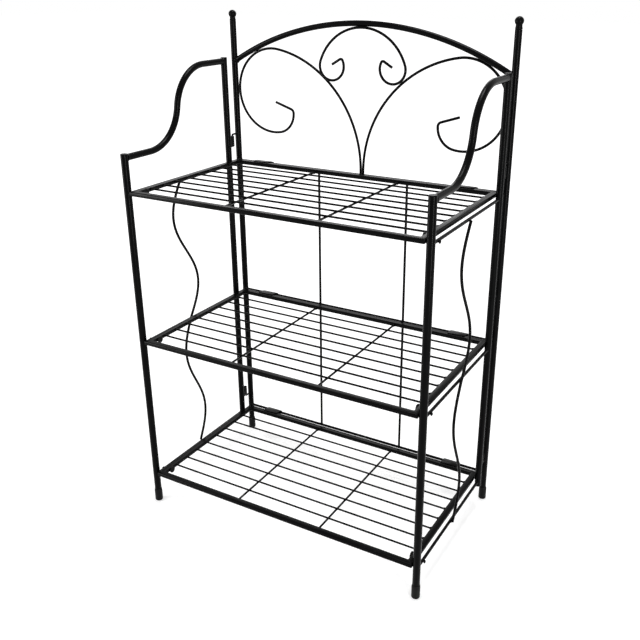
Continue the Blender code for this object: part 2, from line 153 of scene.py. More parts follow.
def apply_modifiers(piece: Piece) -> None:
    """Applies every modifier of the active piece, first to last."""
    for name in [modifier.name for modifier in piece.modifiers]:
        bpy.ops.object.modifier_apply(modifier=name)


def smooth_off(piece: Piece) -> Piece:
    """Turns a piece's faces outward, leaves edit mode, smooths the piece and returns it."""
    bpy.ops.mesh.select_all(action="SELECT")
    bpy.ops.mesh.normals_make_consistent(inside=False)
    bpy.ops.object.mode_set(mode="OBJECT")
    bpy.ops.object.shade_smooth_by_angle(angle=SMOOTH_ANGLE)
    return piece


def copy_at(piece: Piece, offset: Vector) -> Piece:
    """Copies a piece with its mesh and sets the copy down elsewhere.

    Args:
        piece: The piece to copy.
        offset: Where the copy goes, from the piece.

    Returns:
        The copy, with its place in its mesh.
    """
    take(piece)
    bpy.ops.object.duplicate(linked=False)
    bpy.ops.transform.translate(value=offset)
    bpy.ops.object.transform_apply(location=True, rotation=False, scale=False)
    return bpy.context.object


def join(name: str, pieces: Sequence[Piece]) -> Piece:
    """Joins pieces into the first one and names it.

    Args:
        name: Name of the joined piece.
        pieces: The pieces, all at the origin.

    Returns:
        The joined piece.
    """
    take(pieces[0])
    for piece in pieces:
        piece.select_set(True)
    if len(pieces) > 1:
        bpy.ops.object.join()
    pieces[0].name = name
    pieces[0].data.name = name
    return pieces[0]


class Wire:
    """A round ring that is pushed, bent and swelled along its heading, as wire and tube are worked."""

    CHORD_ERROR = 0.00003
    LEAST_BEND = 0.0003
    LEAST_STEPS = 4
    RIM_SEGMENTS = 3
    MERGE_GAP = 0.00002

    def __init__(self, name: str, place: Vector, heading: Vector, radius: float, sides: Ring) -> None:
        """Sets down the first ring.

        Args:
            name: Name of the piece.
            place: Middle of the ring.
            heading: Direction that the wire sets out in.
            radius: Radius of the wire.
            sides: Corners of the ring.
        """
        clear_bench()
        turn = Vector(heading).to_track_quat("Z", "Y").to_euler()
        bpy.ops.mesh.primitive_circle_add(
            vertices=sides, radius=radius, fill_type="NOTHING", location=place, rotation=turn
        )
        self.piece = name_piece(name)
        self.place = Vector(place)
        self.heading = Vector(heading).normalized()
        self.radius = radius
        bpy.ops.object.mode_set(mode="EDIT")
        bpy.ops.mesh.select_mode(type="EDGE")
        bpy.ops.mesh.select_all(action="SELECT")

    def run(self, length: float) -> "Wire":
        """Pushes the ring straight on and returns the wire."""
        return self.move(self.heading * length)

    def move(self, step: Vector) -> "Wire":
        """Pushes the ring by a step in any direction and returns the wire."""
        bpy.ops.mesh.extrude_region_move(TRANSFORM_OT_translate={"value": step})
        self.place = self.place + step
        return self

    def swell(self, *stations: Pair) -> "Wire":
        """Pushes the ring on through stations, each a length and the radius at its end.

        Args:
            stations: Pairs of length and radius.

        Returns:
            The wire.
        """
        for length, radius in stations:
            self.run(length)
            share = radius / self.radius
            bpy.ops.transform.resize(value=(share, share, share), center_override=self.place)
            self.radius = radius
        return self

    def shape(self, profile: Iterable[Pair], length: float, radius: float, core: float = 0.0) -> "Wire":
        """Pushes the ring on through a profile, which is given in shares.

        Args:
            profile: Pairs of a share of the length and a share of the radius.
            length: Length that the shares are of, or 1 where they are metres.
            radius: Radius that the shares are of, or 1 where they are metres.
            core: Radius that is added at every station.

        Returns:
            The wire.
        """
        return self.swell(*[(length * step, core + radius * share) for step, share in profile])

    def bend(self, axis: Vector, radius: float, degrees: float) -> "Wire":
        """Bends the wire round an axis, by the right hand.

        Args:
            axis: Direction of the bend's axis.
            radius: Radius of the bend.
            degrees: How far it bends.

        Returns:
            The wire.
        """
        angle = math.radians(degrees)
        centre = self.place + axis.cross(self.heading) * radius
        widest = 2 * math.acos(1 - self.CHORD_ERROR / max(radius, self.LEAST_BEND))
        steps = max(self.LEAST_STEPS, math.ceil(angle / widest))
        bpy.ops.mesh.spin(steps=steps, angle=-angle, center=centre, axis=axis)
        turn = Matrix.Rotation(angle, 3, axis)
        self.place = centre + turn @ (self.place - centre)
        self.heading = turn @ self.heading
        return self

    def follow(self, points: Sequence[Vector]) -> "Wire":
        """Pushes the ring along a line in an X plane and keeps it square to the line.

        Args:
            points: The line's points, after the one that the ring is at.

        Returns:
            The wire.
        """
        for number, point in enumerate(points):
            ahead = (points[min(number + 1, len(points) - 1)] - self.place).normalized()
            self.move(point - self.place)
            angle = math.asin(self.heading.cross(ahead).dot(ACROSS))
            bpy.ops.transform.rotate(value=-angle, orient_axis="X", center_override=point)
            self.heading = ahead
        return self

    def end(self, rim: float = 0.0) -> Piece:
        """Closes both ends, rounds their rims and smooths the piece.

        Args:
            rim: Radius of the rims, or nothing for sharp ones.

        Returns:
            The finished piece.
        """
        bpy.ops.mesh.select_all(action="DESELECT")
        bpy.ops.mesh.select_non_manifold()
        bpy.ops.mesh.edge_face_add()
        if rim:
            bpy.ops.mesh.select_all(action="DESELECT")
            bpy.ops.mesh.edges_select_sharp(sharpness=RIM_ANGLE)
            bpy.ops.mesh.bevel(offset=rim, segments=self.RIM_SEGMENTS, affect="EDGES")
        return smooth_off(self.piece)

    def end_with_mirror(self, rim: float) -> Piece:
        """Closes the far end, rounds its rim and adds the other half across the middle of the stand.

        Args:
            rim: Radius of the rim.

        Returns:
            The finished piece.
        """
        bpy.ops.mesh.edge_face_add()
        bpy.ops.mesh.bevel(offset=rim, segments=self.RIM_SEGMENTS, affect="EDGES")
        bpy.ops.object.mode_set(mode="OBJECT")
        twin = self.piece.modifiers.new("other_half", "MIRROR")
        twin.use_axis = (True, False, False)
        twin.merge_threshold = self.MERGE_GAP
        apply_modifiers(self.piece)
        bpy.ops.object.mode_set(mode="EDIT")
        return smooth_off(self.piece)


class Strap:
    """A flat strip: a leaf whose rear edge is pushed on and rolled round a pin or bar."""

    ROLL_STEPS = 28
    PICK_SLACK = 0.00001
    EDGE_SHARE = 0.22
    EDGE_SEGMENTS = 2

    def __init__(self, name: str, low: Vector, high: Vector) -> None:
        """Sets down the leaf and takes its rear edge.

        Args:
            name: Name of the piece.
            low: Lowest corner of the leaf, which is flat in X or in Z.
            high: Highest corner of the leaf.
        """
        clear_bench()
        size = high - low
        middle = (low + high) / 2
        upright = size.x < size.z
        turn = (0.0, math.pi / 2 if upright else 0.0, 0.0)
        bpy.ops.mesh.primitive_plane_add(size=1.0, location=middle, rotation=turn)
        self.piece = name_piece(name)
        bpy.ops.object.mode_set(mode="EDIT")
        spread = (1.0, size.y, size.z) if upright else (size.x, size.y, 1.0)
        bpy.ops.transform.resize(value=spread, center_override=middle)
        pick_edges(self.piece, lambda spot: spot.y > high.y - self.PICK_SLACK)

    def push(self, step: Vector) -> "Strap":
        """Draws the edge on by a step and returns the strap."""
        bpy.ops.mesh.extrude_region_move(TRANSFORM_OT_translate={"value": step})
        return self

    def roll(self, centre: Vector, axis: Vector, degrees: float) -> "Strap":
        """Rolls the edge round an axis by the right hand and returns the strap."""
        bpy.ops.mesh.spin(steps=self.ROLL_STEPS, angle=-math.radians(degrees), center=centre, axis=axis)
        return self

    def end(self, thickness: float) -> Piece:
        """Gives the strip its thickness and softened edges.

        Args:
            thickness: Thickness of the sheet.

        Returns:
            The finished piece.
        """
        bpy.ops.mesh.select_all(action="SELECT")
        bpy.ops.mesh.normals_make_consistent(inside=False)
        bpy.ops.object.mode_set(mode="OBJECT")
        wall = self.piece.modifiers.new("sheet", "SOLIDIFY")
        wall.thickness = thickness
        wall.offset = 0.0
        edge = self.piece.modifiers.new("edge", "BEVEL")
        edge.width = thickness * self.EDGE_SHARE
        edge.segments = self.EDGE_SEGMENTS
        edge.limit_method = "ANGLE"
        edge.angle_limit = RIM_ANGLE
        apply_modifiers(self.piece)
        bpy.ops.object.mode_set(mode="EDIT")
        return smooth_off(self.piece)


class NodeDesk:
    """Adds and links the nodes of one tree."""

    def __init__(self, tree: bpy.types.NodeTree) -> None:
        """Takes a tree and empties it."""
        self.tree = tree
        self.tree.nodes.clear()

    def add(self, kind: str, **settings: object) -> bpy.types.Node:
        """Adds a node.

        Args:
            kind: The node's type.
            settings: Properties to set on it.

        Returns:
            The node.
        """
        node = self.tree.nodes.new(kind)
        for name, value in settings.items():
            setattr(node, name, value)
        return node

    def feed(self, value: Socket | float | Sequence[float], target: Socket) -> None:
        """Links a socket to an input, or sets the input to a plain value.

        Args:
            value: The socket, number or colour.
            target: The input.
        """
        if isinstance(value, Socket):
            self.tree.links.new(value, target)
        else:
            target.default_value = value

    def noise(self, place: Socket, scale: Socket | float, detail: float) -> Socket:
        """Adds a noise texture.

        Args:
            place: Where it takes its coordinates from.
            scale: Its scale.
            detail: Its detail.

        Returns:
            Its value.
        """
        node = self.add("ShaderNodeTexNoise")
        self.feed(place, node.inputs["Vector"])
        self.feed(scale, node.inputs["Scale"])
        self.feed(detail, node.inputs["Detail"])
        return node.outputs["Fac"]

    def spread(self, value: Socket, before: Pair, after: Pair) -> Socket:
        """Maps a range of values to another one.

        Args:
            value: The value to map.
            before: The range that it has.
            after: The range that it gets.

        Returns:
            The mapped value.
        """
        node = self.add("ShaderNodeMapRange", clamp=True)
        for name, number in zip(("From Min", "From Max", "To Min", "To Max"), before + after):
            self.feed(number, node.inputs[name])
        self.feed(value, node.inputs["Value"])
        return node.outputs["Result"]

    def math(self, operation: str, first: Socket, second: Socket | float) -> Socket:
        """Works out a sum of two values.

        Args:
            operation: The kind of sum.
            first: The first value.
            second: The second value, or a number.

        Returns:
            The result.
        """
        node = self.add("ShaderNodeMath", operation=operation)
        self.feed(first, node.inputs[0])
        self.feed(second, node.inputs[1])
        return node.outputs[0]

    def blend(self, share: Socket, first: Socket | Sequence[float], second: Sequence[float]) -> Socket:
        """Blends two colours.

        Args:
            share: How much of the second colour shows.
            first: The first colour.
            second: The second colour.

        Returns:
            The blended colour.
        """
        node = self.add("ShaderNodeMix", data_type="RGBA")
        start, end = [socket for socket in node.inputs if socket.type == "RGBA"]
        self.feed(share, node.inputs[0])
        self.feed(first, start)
        self.feed(second, end)
        return next(socket for socket in node.outputs if socket.type == "RGBA")


@dataclass(frozen=True)
class Coat:
    """A black finish: two tones in clouds, a gloss that varies with them, specks and a fine relief."""

    name: str
    dark: Triple
    light: Triple
    speck: Triple
    gloss: Pair
    specular: float
    grain_scale: float
    ripple: float
    relief: float
    relief_depth: float = 0.0004
    grain_detail: float = 2.0
    ripple_scale: float = 260.0
    ripple_detail: float = 1.0
    cloud_scale: float = 22.0
    cloud_detail: float = 4.0
    cloud_range: Pair = (0.32, 0.68)
    speck_scale: float = 420.0
    speck_range: Pair = (0.05, 0.16)

    def build_surface(self) -> bpy.types.NodeTree:
        """Builds the group that gives the coat its relief, clouds and specks.

        Returns:
            The group, with outputs Height, Cloud and Speck.
        """
        tree = bpy.data.node_groups.new(self.name + "_surface", "ShaderNodeTree")
        tree.interface.new_socket("Vector", in_out="INPUT", socket_type="NodeSocketVector")
        tree.interface.new_socket("Scale", in_out="INPUT", socket_type="NodeSocketFloat")
        for output in ("Height", "Cloud", "Speck"):
            tree.interface.new_socket(output, in_out="OUTPUT", socket_type="NodeSocketFloat")
        desk = NodeDesk(tree)
        entry = desk.add("NodeGroupInput")
        leave = desk.add("NodeGroupOutput")
        place = entry.outputs["Vector"]
        grain = desk.noise(place, entry.outputs["Scale"], self.grain_detail)
        waves = desk.noise(place, self.ripple_scale, self.ripple_detail)
        fine = desk.math("MULTIPLY", grain, 1.0 - self.ripple)
        broad = desk.math("MULTIPLY", waves, self.ripple)
        desk.feed(desk.math("ADD", fine, broad), leave.inputs["Height"])
        cloud = desk.noise(place, self.cloud_scale, self.cloud_detail)
        desk.feed(desk.spread(cloud, self.cloud_range, (0.0, 1.0)), leave.inputs["Cloud"])
        specks = desk.add("ShaderNodeTexVoronoi")
        desk.feed(place, specks.inputs["Vector"])
        desk.feed(self.speck_scale, specks.inputs["Scale"])
        dots = desk.spread(specks.outputs["Distance"], self.speck_range, (1.0, 0.0))
        desk.feed(dots, leave.inputs["Speck"])
        return tree

    def build(self) -> bpy.types.Material:
        """Makes the finish's material.

        Returns:
            The material.
        """
        material = bpy.data.materials.new(self.name)
        material.use_nodes = True
        material.diffuse_color = (*self.light, 1.0)
        desk = NodeDesk(material.node_tree)
        shader = desk.add("ShaderNodeBsdfPrincipled")
        desk.feed(self.specular, shader.inputs["Specular IOR Level"])
        place = desk.add("ShaderNodeTexCoord")
        surface = desk.add("ShaderNodeGroup", node_tree=self.build_surface())
        desk.feed(self.grain_scale, surface.inputs["Scale"])
        desk.feed(place.outputs["Object"], surface.inputs["Vector"])
        cloud = surface.outputs["Cloud"]
        tone = desk.blend(cloud, (*self.dark, 1.0), (*self.light, 1.0))
        dotted = desk.blend(surface.outputs["Speck"], tone, (*self.speck, 1.0))
        desk.feed(dotted, shader.inputs["Base Color"])
        desk.feed(desk.spread(cloud, (0.0, 1.0), self.gloss), shader.inputs["Roughness"])
        bump = desk.add("ShaderNodeBump")
        desk.feed(self.relief, bump.inputs["Strength"])
        desk.feed(self.relief_depth, bump.inputs["Distance"])
        desk.feed(surface.outputs["Height"], bump.inputs["Height"])
        desk.feed(bump.outputs["Normal"], shader.inputs["Normal"])
        output = desk.add("ShaderNodeOutputMaterial")
        desk.feed(shader.outputs["BSDF"], output.inputs["Surface"])
        return material


POWDER_COAT = Coat(
    name="satin_powder_coat", dark=(0.0007, 0.0007, 0.0008), light=(0.0018, 0.0018, 0.0019),
    speck=(0.005, 0.005, 0.005), gloss=(0.18, 0.30), specular=0.042, grain_scale=1100.0, ripple=0.35,
    relief=0.06,
)
WELD_COAT = Coat(
    name="coated_weld", dark=(0.0011, 0.0011, 0.0012), light=(0.0028, 0.0028, 0.0029),
    speck=(0.007, 0.007, 0.007), gloss=(0.26, 0.40), specular=0.05, grain_scale=800.0, ripple=0.80,
    relief=0.25,
)
MOULDED_PLASTIC = Coat(
    name="moulded_black_plastic", dark=(0.0026, 0.0026, 0.0028), light=(0.0048, 0.0048, 0.0050),
    speck=(0.008, 0.008, 0.008), gloss=(0.34, 0.46), specular=0.09, grain_scale=1700.0, ripple=0.15,
    relief=0.14,
)


@dataclass(frozen=True)
class Layout:
    """Places that the sub-assemblies share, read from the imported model."""

    half_width: float
    front_y: float
    back_y: float
    upright_y: float
    hinge_y: float
    bar_y: float
    wire_y: float
    tiers: dict[Tier, float]

    @classmethod
    def read(cls) -> "Layout":
        """Reads the places from the CAD nodes and joints.

        Returns:
            The layout.
        """
        hinge = next(joint for joint in frame["joints"] if joint["child"] == "right_side")
        post = cls.middle("right_back_post")
        return cls(
            half_width=post.x,
            front_y=cls.middle("right_front_leg").y,
            back_y=post.y,
            upright_y=cls.middle("right_rear_upright").y,
            hinge_y=hinge["pos_m"][1],
            bar_y=cls.middle("top_back_bar").y,
            wire_y=cls.middle("right_back_wire").y,
            tiers={tier: cls.middle(tier.value + "_back_bar").z for tier in Tier},
        )

    @staticmethod
    def middle(node: str) -> Vector:
        """The middle of a CAD node's box."""
        low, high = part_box(node)
        return (low + high) / 2


@dataclass
class SubAssembly:
    """Pieces that ride together on one body of the stand.

    A bead's profile is in shares of its length and radius. A fillet's is in shares of its width, outside
    the wire, and it starts sunk in the tube.
    """

    layout: Layout
    coats: dict[str, bpy.types.Material]
    body: str = ""
    bead_profile: Profile = (
        (0.10, 0.62), (0.18, 0.92), (0.22, 1.0), (0.22, 0.92), (0.18, 0.62), (0.10, 0.25),
    )
    fillet_profile: Profile = ((1.2, 1.0), (0.5, 0.78), (0.45, 0.42), (0.6, 0.16), (0.7, -0.05))
    fillet_sink: float = 1.6
    fillet_root: float = 0.95
    welds: list[Piece] = field(default_factory=list)

    def keep(self, piece: Piece, coat: Coat, slot: Slot, *nodes: str) -> None:
        """Dresses a finished piece, ties it to its body and hides the CAD nodes that it stands for.

        Args:
            piece: The piece.
            coat: Its finish.
            slot: The record's slot for that finish. Not used.
            nodes: CAD nodes that it stands for.
        """
        piece.data.materials.clear()
        piece.data.materials.append(self.coats[coat.name])
        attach(piece, self.body)
        if nodes:
            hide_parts(*nodes)
        LOG.info("%s: %d faces on %s", piece.name, len(piece.data.polygons), self.body)

    def steel(self, piece: Piece, *nodes: str) -> None:
        """Keeps a piece in powder coat."""
        self.keep(piece, POWDER_COAT, Slot.STEEL, *nodes)

    def plastic(self, piece: Piece, *nodes: str) -> None:
        """Keeps a piece in moulded plastic."""
        self.keep(piece, MOULDED_PLASTIC, Slot.PLASTIC, *nodes)

    def bead(self, place: Vector, along: Vector, length: float, radius: float) -> None:
        """Lays a weld bead, thick in the middle and drawn out at both ends.

        Args:
            place: Middle of the bead.
            along: Direction of the bead.
            length: Length of the bead.
            radius: Radius at its middle.
        """
        start = place - along * length / 2
        tip = radius * self.bead_profile[-1][1]
        wire = Wire("bead", start, along, tip, Ring.WELD)
        self.welds.append(wire.shape(self.bead_profile, length, radius).end())

    def fillet(self, place: Vector, heading: Vector, radius: float, size: float) -> None:
        """Lays a weld fillet round the end of a wire that meets a tube.

        Args:
            place: Where the wire's line meets the tube's skin.
            heading: Direction away from the tube.
            radius: Radius of the wire.
            size: Width of the fillet.
        """
        start = place - heading * size * self.fillet_sink
        wire = Wire("fillet", start, heading, radius + size * self.fillet_root, Ring.BAR)
        self.welds.append(wire.shape(self.fillet_profile, size, size, radius).end())

    def lay_welds(self) -> None:
        """Joins the weld beads and fillets of this body into one piece."""
        piece = join(self.body + "_weld_beads", self.welds)
        self.keep(piece, WELD_COAT, Slot.STEEL)


@dataclass(frozen=True)
class FootCap:
    """A plastic cap on a tube's lower end: dimpled and rounded under, straight, and drawn in at its mouth.

    The sole's profile is in shares of the dimple's depth and of the flat. The draft and the lip are in
    metres: a length, with what the radius loses, and lengths, with radii beyond the tube's.
    """

    radius: float = 0.0080
    height: float = 0.029
    rounding: float = 0.0034
    rounding_steps: int = 6
    dimple: float = 0.0006
    dimple_share: float = 0.55
    sole_profile: Profile = ((0.0, 0.70), (-1.0, 0.78), (0.0, 1.0))
    mouth: float = 0.0050
    draft: Pair = (0.00175, 0.0001)
    lip_profile: Profile = ((0.00225, 0.00065), (0.0010, 0.0003), (-0.0012, -0.0002))

    def build(self, name: str, x: float, y: float, tube_radius: float) -> Piece:
        """Turns the cap.

        Args:
            name: Name of the piece.
            x: Place of its axis.
            y: Place of its axis.
            tube_radius: Radius of the tube that it takes.

        Returns:
            The cap.
        """
        flat = self.radius - self.rounding
        cap = Wire(name, Vector((x, y, self.dimple)), UPWARD, flat * self.dimple_share, Ring.TUBE)
        cap.shape(self.sole_profile, self.dimple, flat)
        turned = 0.0
        for step in range(1, self.rounding_steps + 1):
            angle = math.pi / 2 * step / self.rounding_steps
            rise = self.rounding * (1 - math.cos(angle))
            cap.swell((rise - turned, flat + self.rounding * math.sin(angle)))
            turned = rise
        length, loss = self.draft
        cap.swell((self.height - self.mouth - turned, self.radius), (length, self.radius - loss))
        return cap.shape(self.lip_profile, 1.0, 1.0, tube_radius).end()


@dataclass
class BackFrame(SubAssembly):
    """Posts with finials and caps, arch, cross bars, upright wires, scrolls and hinge pins.

    A finial's neck is in metres along, from a plug in the post, and in shares of the post's radius.
    A scroll's bends are pairs of radius and degrees. A bead is a pair of length and radius.
    """

    body: str = "back_frame"
    post_radius: float = 0.0065
    post_rim: float = 0.0005
    foot: FootCap = FootCap()
    plug_depth: float = 0.004
    plug_share: float = 0.75
    neck_share: float = 0.90
    neck_height: float = 0.0080
    neck_profile: Profile = (
        (0.0041, 0.75), (0.0002, 0.95), (0.0005, 1.0), (0.0012, 1.0), (0.0008, 0.985), (0.0020, 0.9108),
        (0.0024, 0.891),
    )
    ball_radius: float = 0.0080
    ball_top: float = 86.0
    ball_steps: int = 16
    arch_radius: float = 0.0055
    arch_rise: float = 0.0820
    arch_fillet: float = 0.0013
    arch_fillet_sink: float = 0.0006
    bar_radius: float = 0.0029
    bar_fillet: float = 0.0012
    end_sink: float = 0.003
    wire_radius: float = 0.0026
    wire_rim: float = 0.0006
    wire_bead: Pair = (0.0058, 0.0014)
    pin_radius: float = 0.0020
    pin_rim: float = 0.0006
    pin_bend: float = 0.0030
    pin_root: float = 0.7
    pin_fillet: float = 0.0011
    scroll_scale: float = 0.9985
    scroll_gap: float = 0.0003
    scroll_stem: float = 0.0106
    scroll_bends: Profile = ((0.228, 80.6), (0.0837, 199.5), (0.0405, 81.5), (0.0085, 70.5))
    scroll_tail: float = 0.0385
    scroll_rim: float = 0.0007
    curl_bends: Profile = ((0.0964, 70.2), (0.0267, 226.0), (0.0042, 94.6))
    curl_tail: float = 0.0200
    curl_bead: Pair = (0.008, 0.0015)
    curl_bead_share: float = 0.8

    def build(self) -> None:
        """Builds every piece of the back frame."""
        for side in Side:
            self.build_post(side)
            self.build_scroll(side)
            self.build_back_wire(side)
            for level, down in (("upper", 1), ("lower", -1)):
                self.build_hinge_pin(side, level, down)
        self.build_arch()
        for tier in Tier:
            self.build_bar(tier)
        self.build_curl()
        self.lay_welds()

    def build_post(self, side: Side) -> None:
        """Turns one post with its finial and foot cap."""
        x = side.sign * self.layout.half_width
        y = self.layout.back_y
        low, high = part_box(side.value + "_back_post")
        tube = Wire(side.value + "_post_tube", Vector((x, y, low.z)), UPWARD, self.post_radius, Ring.TUBE)
        self.steel(tube.run(high.z - low.z).end(self.post_rim), side.value + "_back_post")
        cap = self.foot.build(side.value + "_back_foot_cap", x, y, self.post_radius)
        self.plastic(cap, side.value + "_back_foot")
        self.build_finial(side, Vector((x, y, high.z)))

    def build_finial(self, side: Side, seat: Vector) -> None:
        """Turns a ball on a short neck, with a plug in the post below it.

        Args:
            side: The side that it is on.
            seat: Middle of the post's rim.
        """
        start = seat - UPWARD * self.plug_depth
        plug_radius = self.post_radius * self.plug_share
        turned = Wire(side.value + "_ball_finial", start, UPWARD, plug_radius, Ring.TUBE)
        turned.shape(self.neck_profile, 1.0, self.post_radius)
        neck = self.post_radius * self.neck_share
        drop = math.sqrt(self.ball_radius ** 2 - neck ** 2)
        low = -math.asin(drop / self.ball_radius)
        high = math.radians(self.ball_top)
        centre = self.neck_height + drop
        at = (turned.place - seat).z
        for step in range(self.ball_steps + 1):
            angle = low + (high - low) * step / self.ball_steps
            height = centre + self.ball_radius * math.sin(angle)
            turned.swell((height - at, self.ball_radius * math.cos(angle)))
            at = height
        self.steel(turned.end(), side.value + "_finial")

    def build_scroll(self, side: Side) -> None:
        """Bends one big scroll, from its foot on the top bar to its curled tail."""
        stem_x = self.wire_radius + self.scroll_gap
        stem_z = self.layout.tiers[Tier.TOP] - self.bar_radius
        start = Vector((side.sign * stem_x, self.layout.wire_y, stem_z))
        wire = Wire(side.value + "_scroll_wire", start, UPWARD, self.wire_radius, Ring.WIRE)
        wire.run(self.scroll_stem * self.scroll_scale)
        for radius, degrees in self.scroll_bends:
            wire.bend(BACKWARD * side.sign, radius * self.scroll_scale, degrees)
        wire.run(self.scroll_tail * self.scroll_scale)
        self.steel(wire.end(self.scroll_rim), side.value + "_scroll")

    def build_back_wire(self, side: Side) -> None:
        """Cuts one upright wire and spot welds it to the three bars."""
        low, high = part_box(side.value + "_back_wire")
        x = (low.x + high.x) / 2
        start = Vector((x, self.layout.wire_y, low.z))
        wire = Wire(side.value + "_upright_wire", start, UPWARD, self.wire_radius, Ring.WIRE)
        self.steel(wire.run(high.z - low.z).end(self.wire_rim), side.value + "_back_wire")
        touch = (self.layout.bar_y + self.bar_radius + self.layout.wire_y - self.wire_radius) / 2
        for tier in Tier:
            self.bead(Vector((x, touch, self.layout.tiers[tier])), ACROSS, *self.wire_bead)

    def build_hinge_pin(self, side: Side, level: str, down: int) -> None:
        """Bends one hinge pin out of the post and into its strap.

        Args:
            side: The side that it is on.
            level: Upper or lower.
            down: 1 where the pin points down, -1 where it points up.
        """
        node = "_".join((side.value, level, "hinge_pin"))
        low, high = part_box(node)
        x = side.sign * self.layout.half_width
        arm_z = high.z - self.pin_radius if down > 0 else low.z + self.pin_radius
        tip_z = low.z if down > 0 else high.z
        start = Vector((x, self.layout.back_y - self.post_radius * self.pin_root, arm_z))
        pin = Wire(node + "_rod", start, -BACKWARD, self.pin_radius, Ring.WIRE)
        pin.run(start.y - self.layout.hinge_y - self.pin_bend)
        pin.bend(ACROSS * down, self.pin_bend, 90)
        pin.run(abs(pin.place.z - tip_z))
        self.steel(pin.end(self.pin_rim), node)
        skin = Vector((x, self.layout.back_y - self.post_radius, arm_z))
        self.fillet(skin, -BACKWARD, self.pin_radius, self.pin_fillet)

    def build_arch(self) -> None:
        """Bends the arched rail between the posts and welds its ends."""
        half = self.layout.half_width
        bend = (half ** 2 + self.arch_rise ** 2) / (2 * self.arch_rise)
        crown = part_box("arch_rail")[1].z - self.arch_radius

        def point(angle: float) -> Vector:
            """The point of the arch's middle line at an angle from its crown."""
            drop = bend * (1 - math.cos(angle))
            return Vector((bend * math.sin(angle), self.layout.back_y, crown - drop))

        reach = math.asin((half - self.end_sink) / bend)
        heading = Vector((math.cos(reach), 0.0, math.sin(reach)))
        tube = Wire("arch_tube", point(-reach), heading, self.arch_radius, Ring.RAIL)
        tube.bend(BACKWARD, bend, math.degrees(2 * reach))
        self.steel(tube.end(), "arch_rail")
        skin = math.asin((half - self.post_radius - self.arch_fillet_sink) / bend)
        for side in Side:
            inward = Vector((-side.sign * math.cos(skin), 0.0, math.sin(skin)))
            self.fillet(point(side.sign * skin), inward, self.arch_radius, self.arch_fillet)

    def build_bar(self, tier: Tier) -> None:
        """Cuts one cross bar and welds its ends to the posts."""
        half = self.layout.half_width - self.end_sink
        y = self.layout.bar_y
        z = self.layout.tiers[tier]
        bar = Wire(tier.value + "_cross_bar", Vector((-half, y, z)), ACROSS, self.bar_radius, Ring.BAR)
        self.steel(bar.run(2 * half).end(), tier.value + "_back_bar")
        set_in = self.layout.back_y - y
        skin = self.layout.half_width - math.sqrt(self.post_radius ** 2 - set_in ** 2)
        for side in Side:
            spot = Vector((side.sign * skin, y, z))
            self.fillet(spot, -ACROSS * side.sign, self.bar_radius, self.bar_fillet)

    def build_curl(self) -> None:
        """Bends the small double scroll under the crown: one half, then its mirror image."""
        low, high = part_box("crown_scroll")
        start = Vector((0.0, (low.y + high.y) / 2, high.z - self.wire_radius))
        wire = Wire("double_scroll_wire", start, ACROSS, self.wire_radius, Ring.WIRE)
        for radius, degrees in self.curl_bends:
            wire.bend(BACKWARD, radius * self.scroll_scale, degrees)
        wire.run(self.curl_tail * self.scroll_scale)
        self.steel(wire.end_with_mirror(self.scroll_rim), "crown_scroll")
        touch = Vector((0.0, start.y + self.wire_radius * self.curl_bead_share, high.z))
        self.bead(touch, ACROSS, *self.curl_bead)


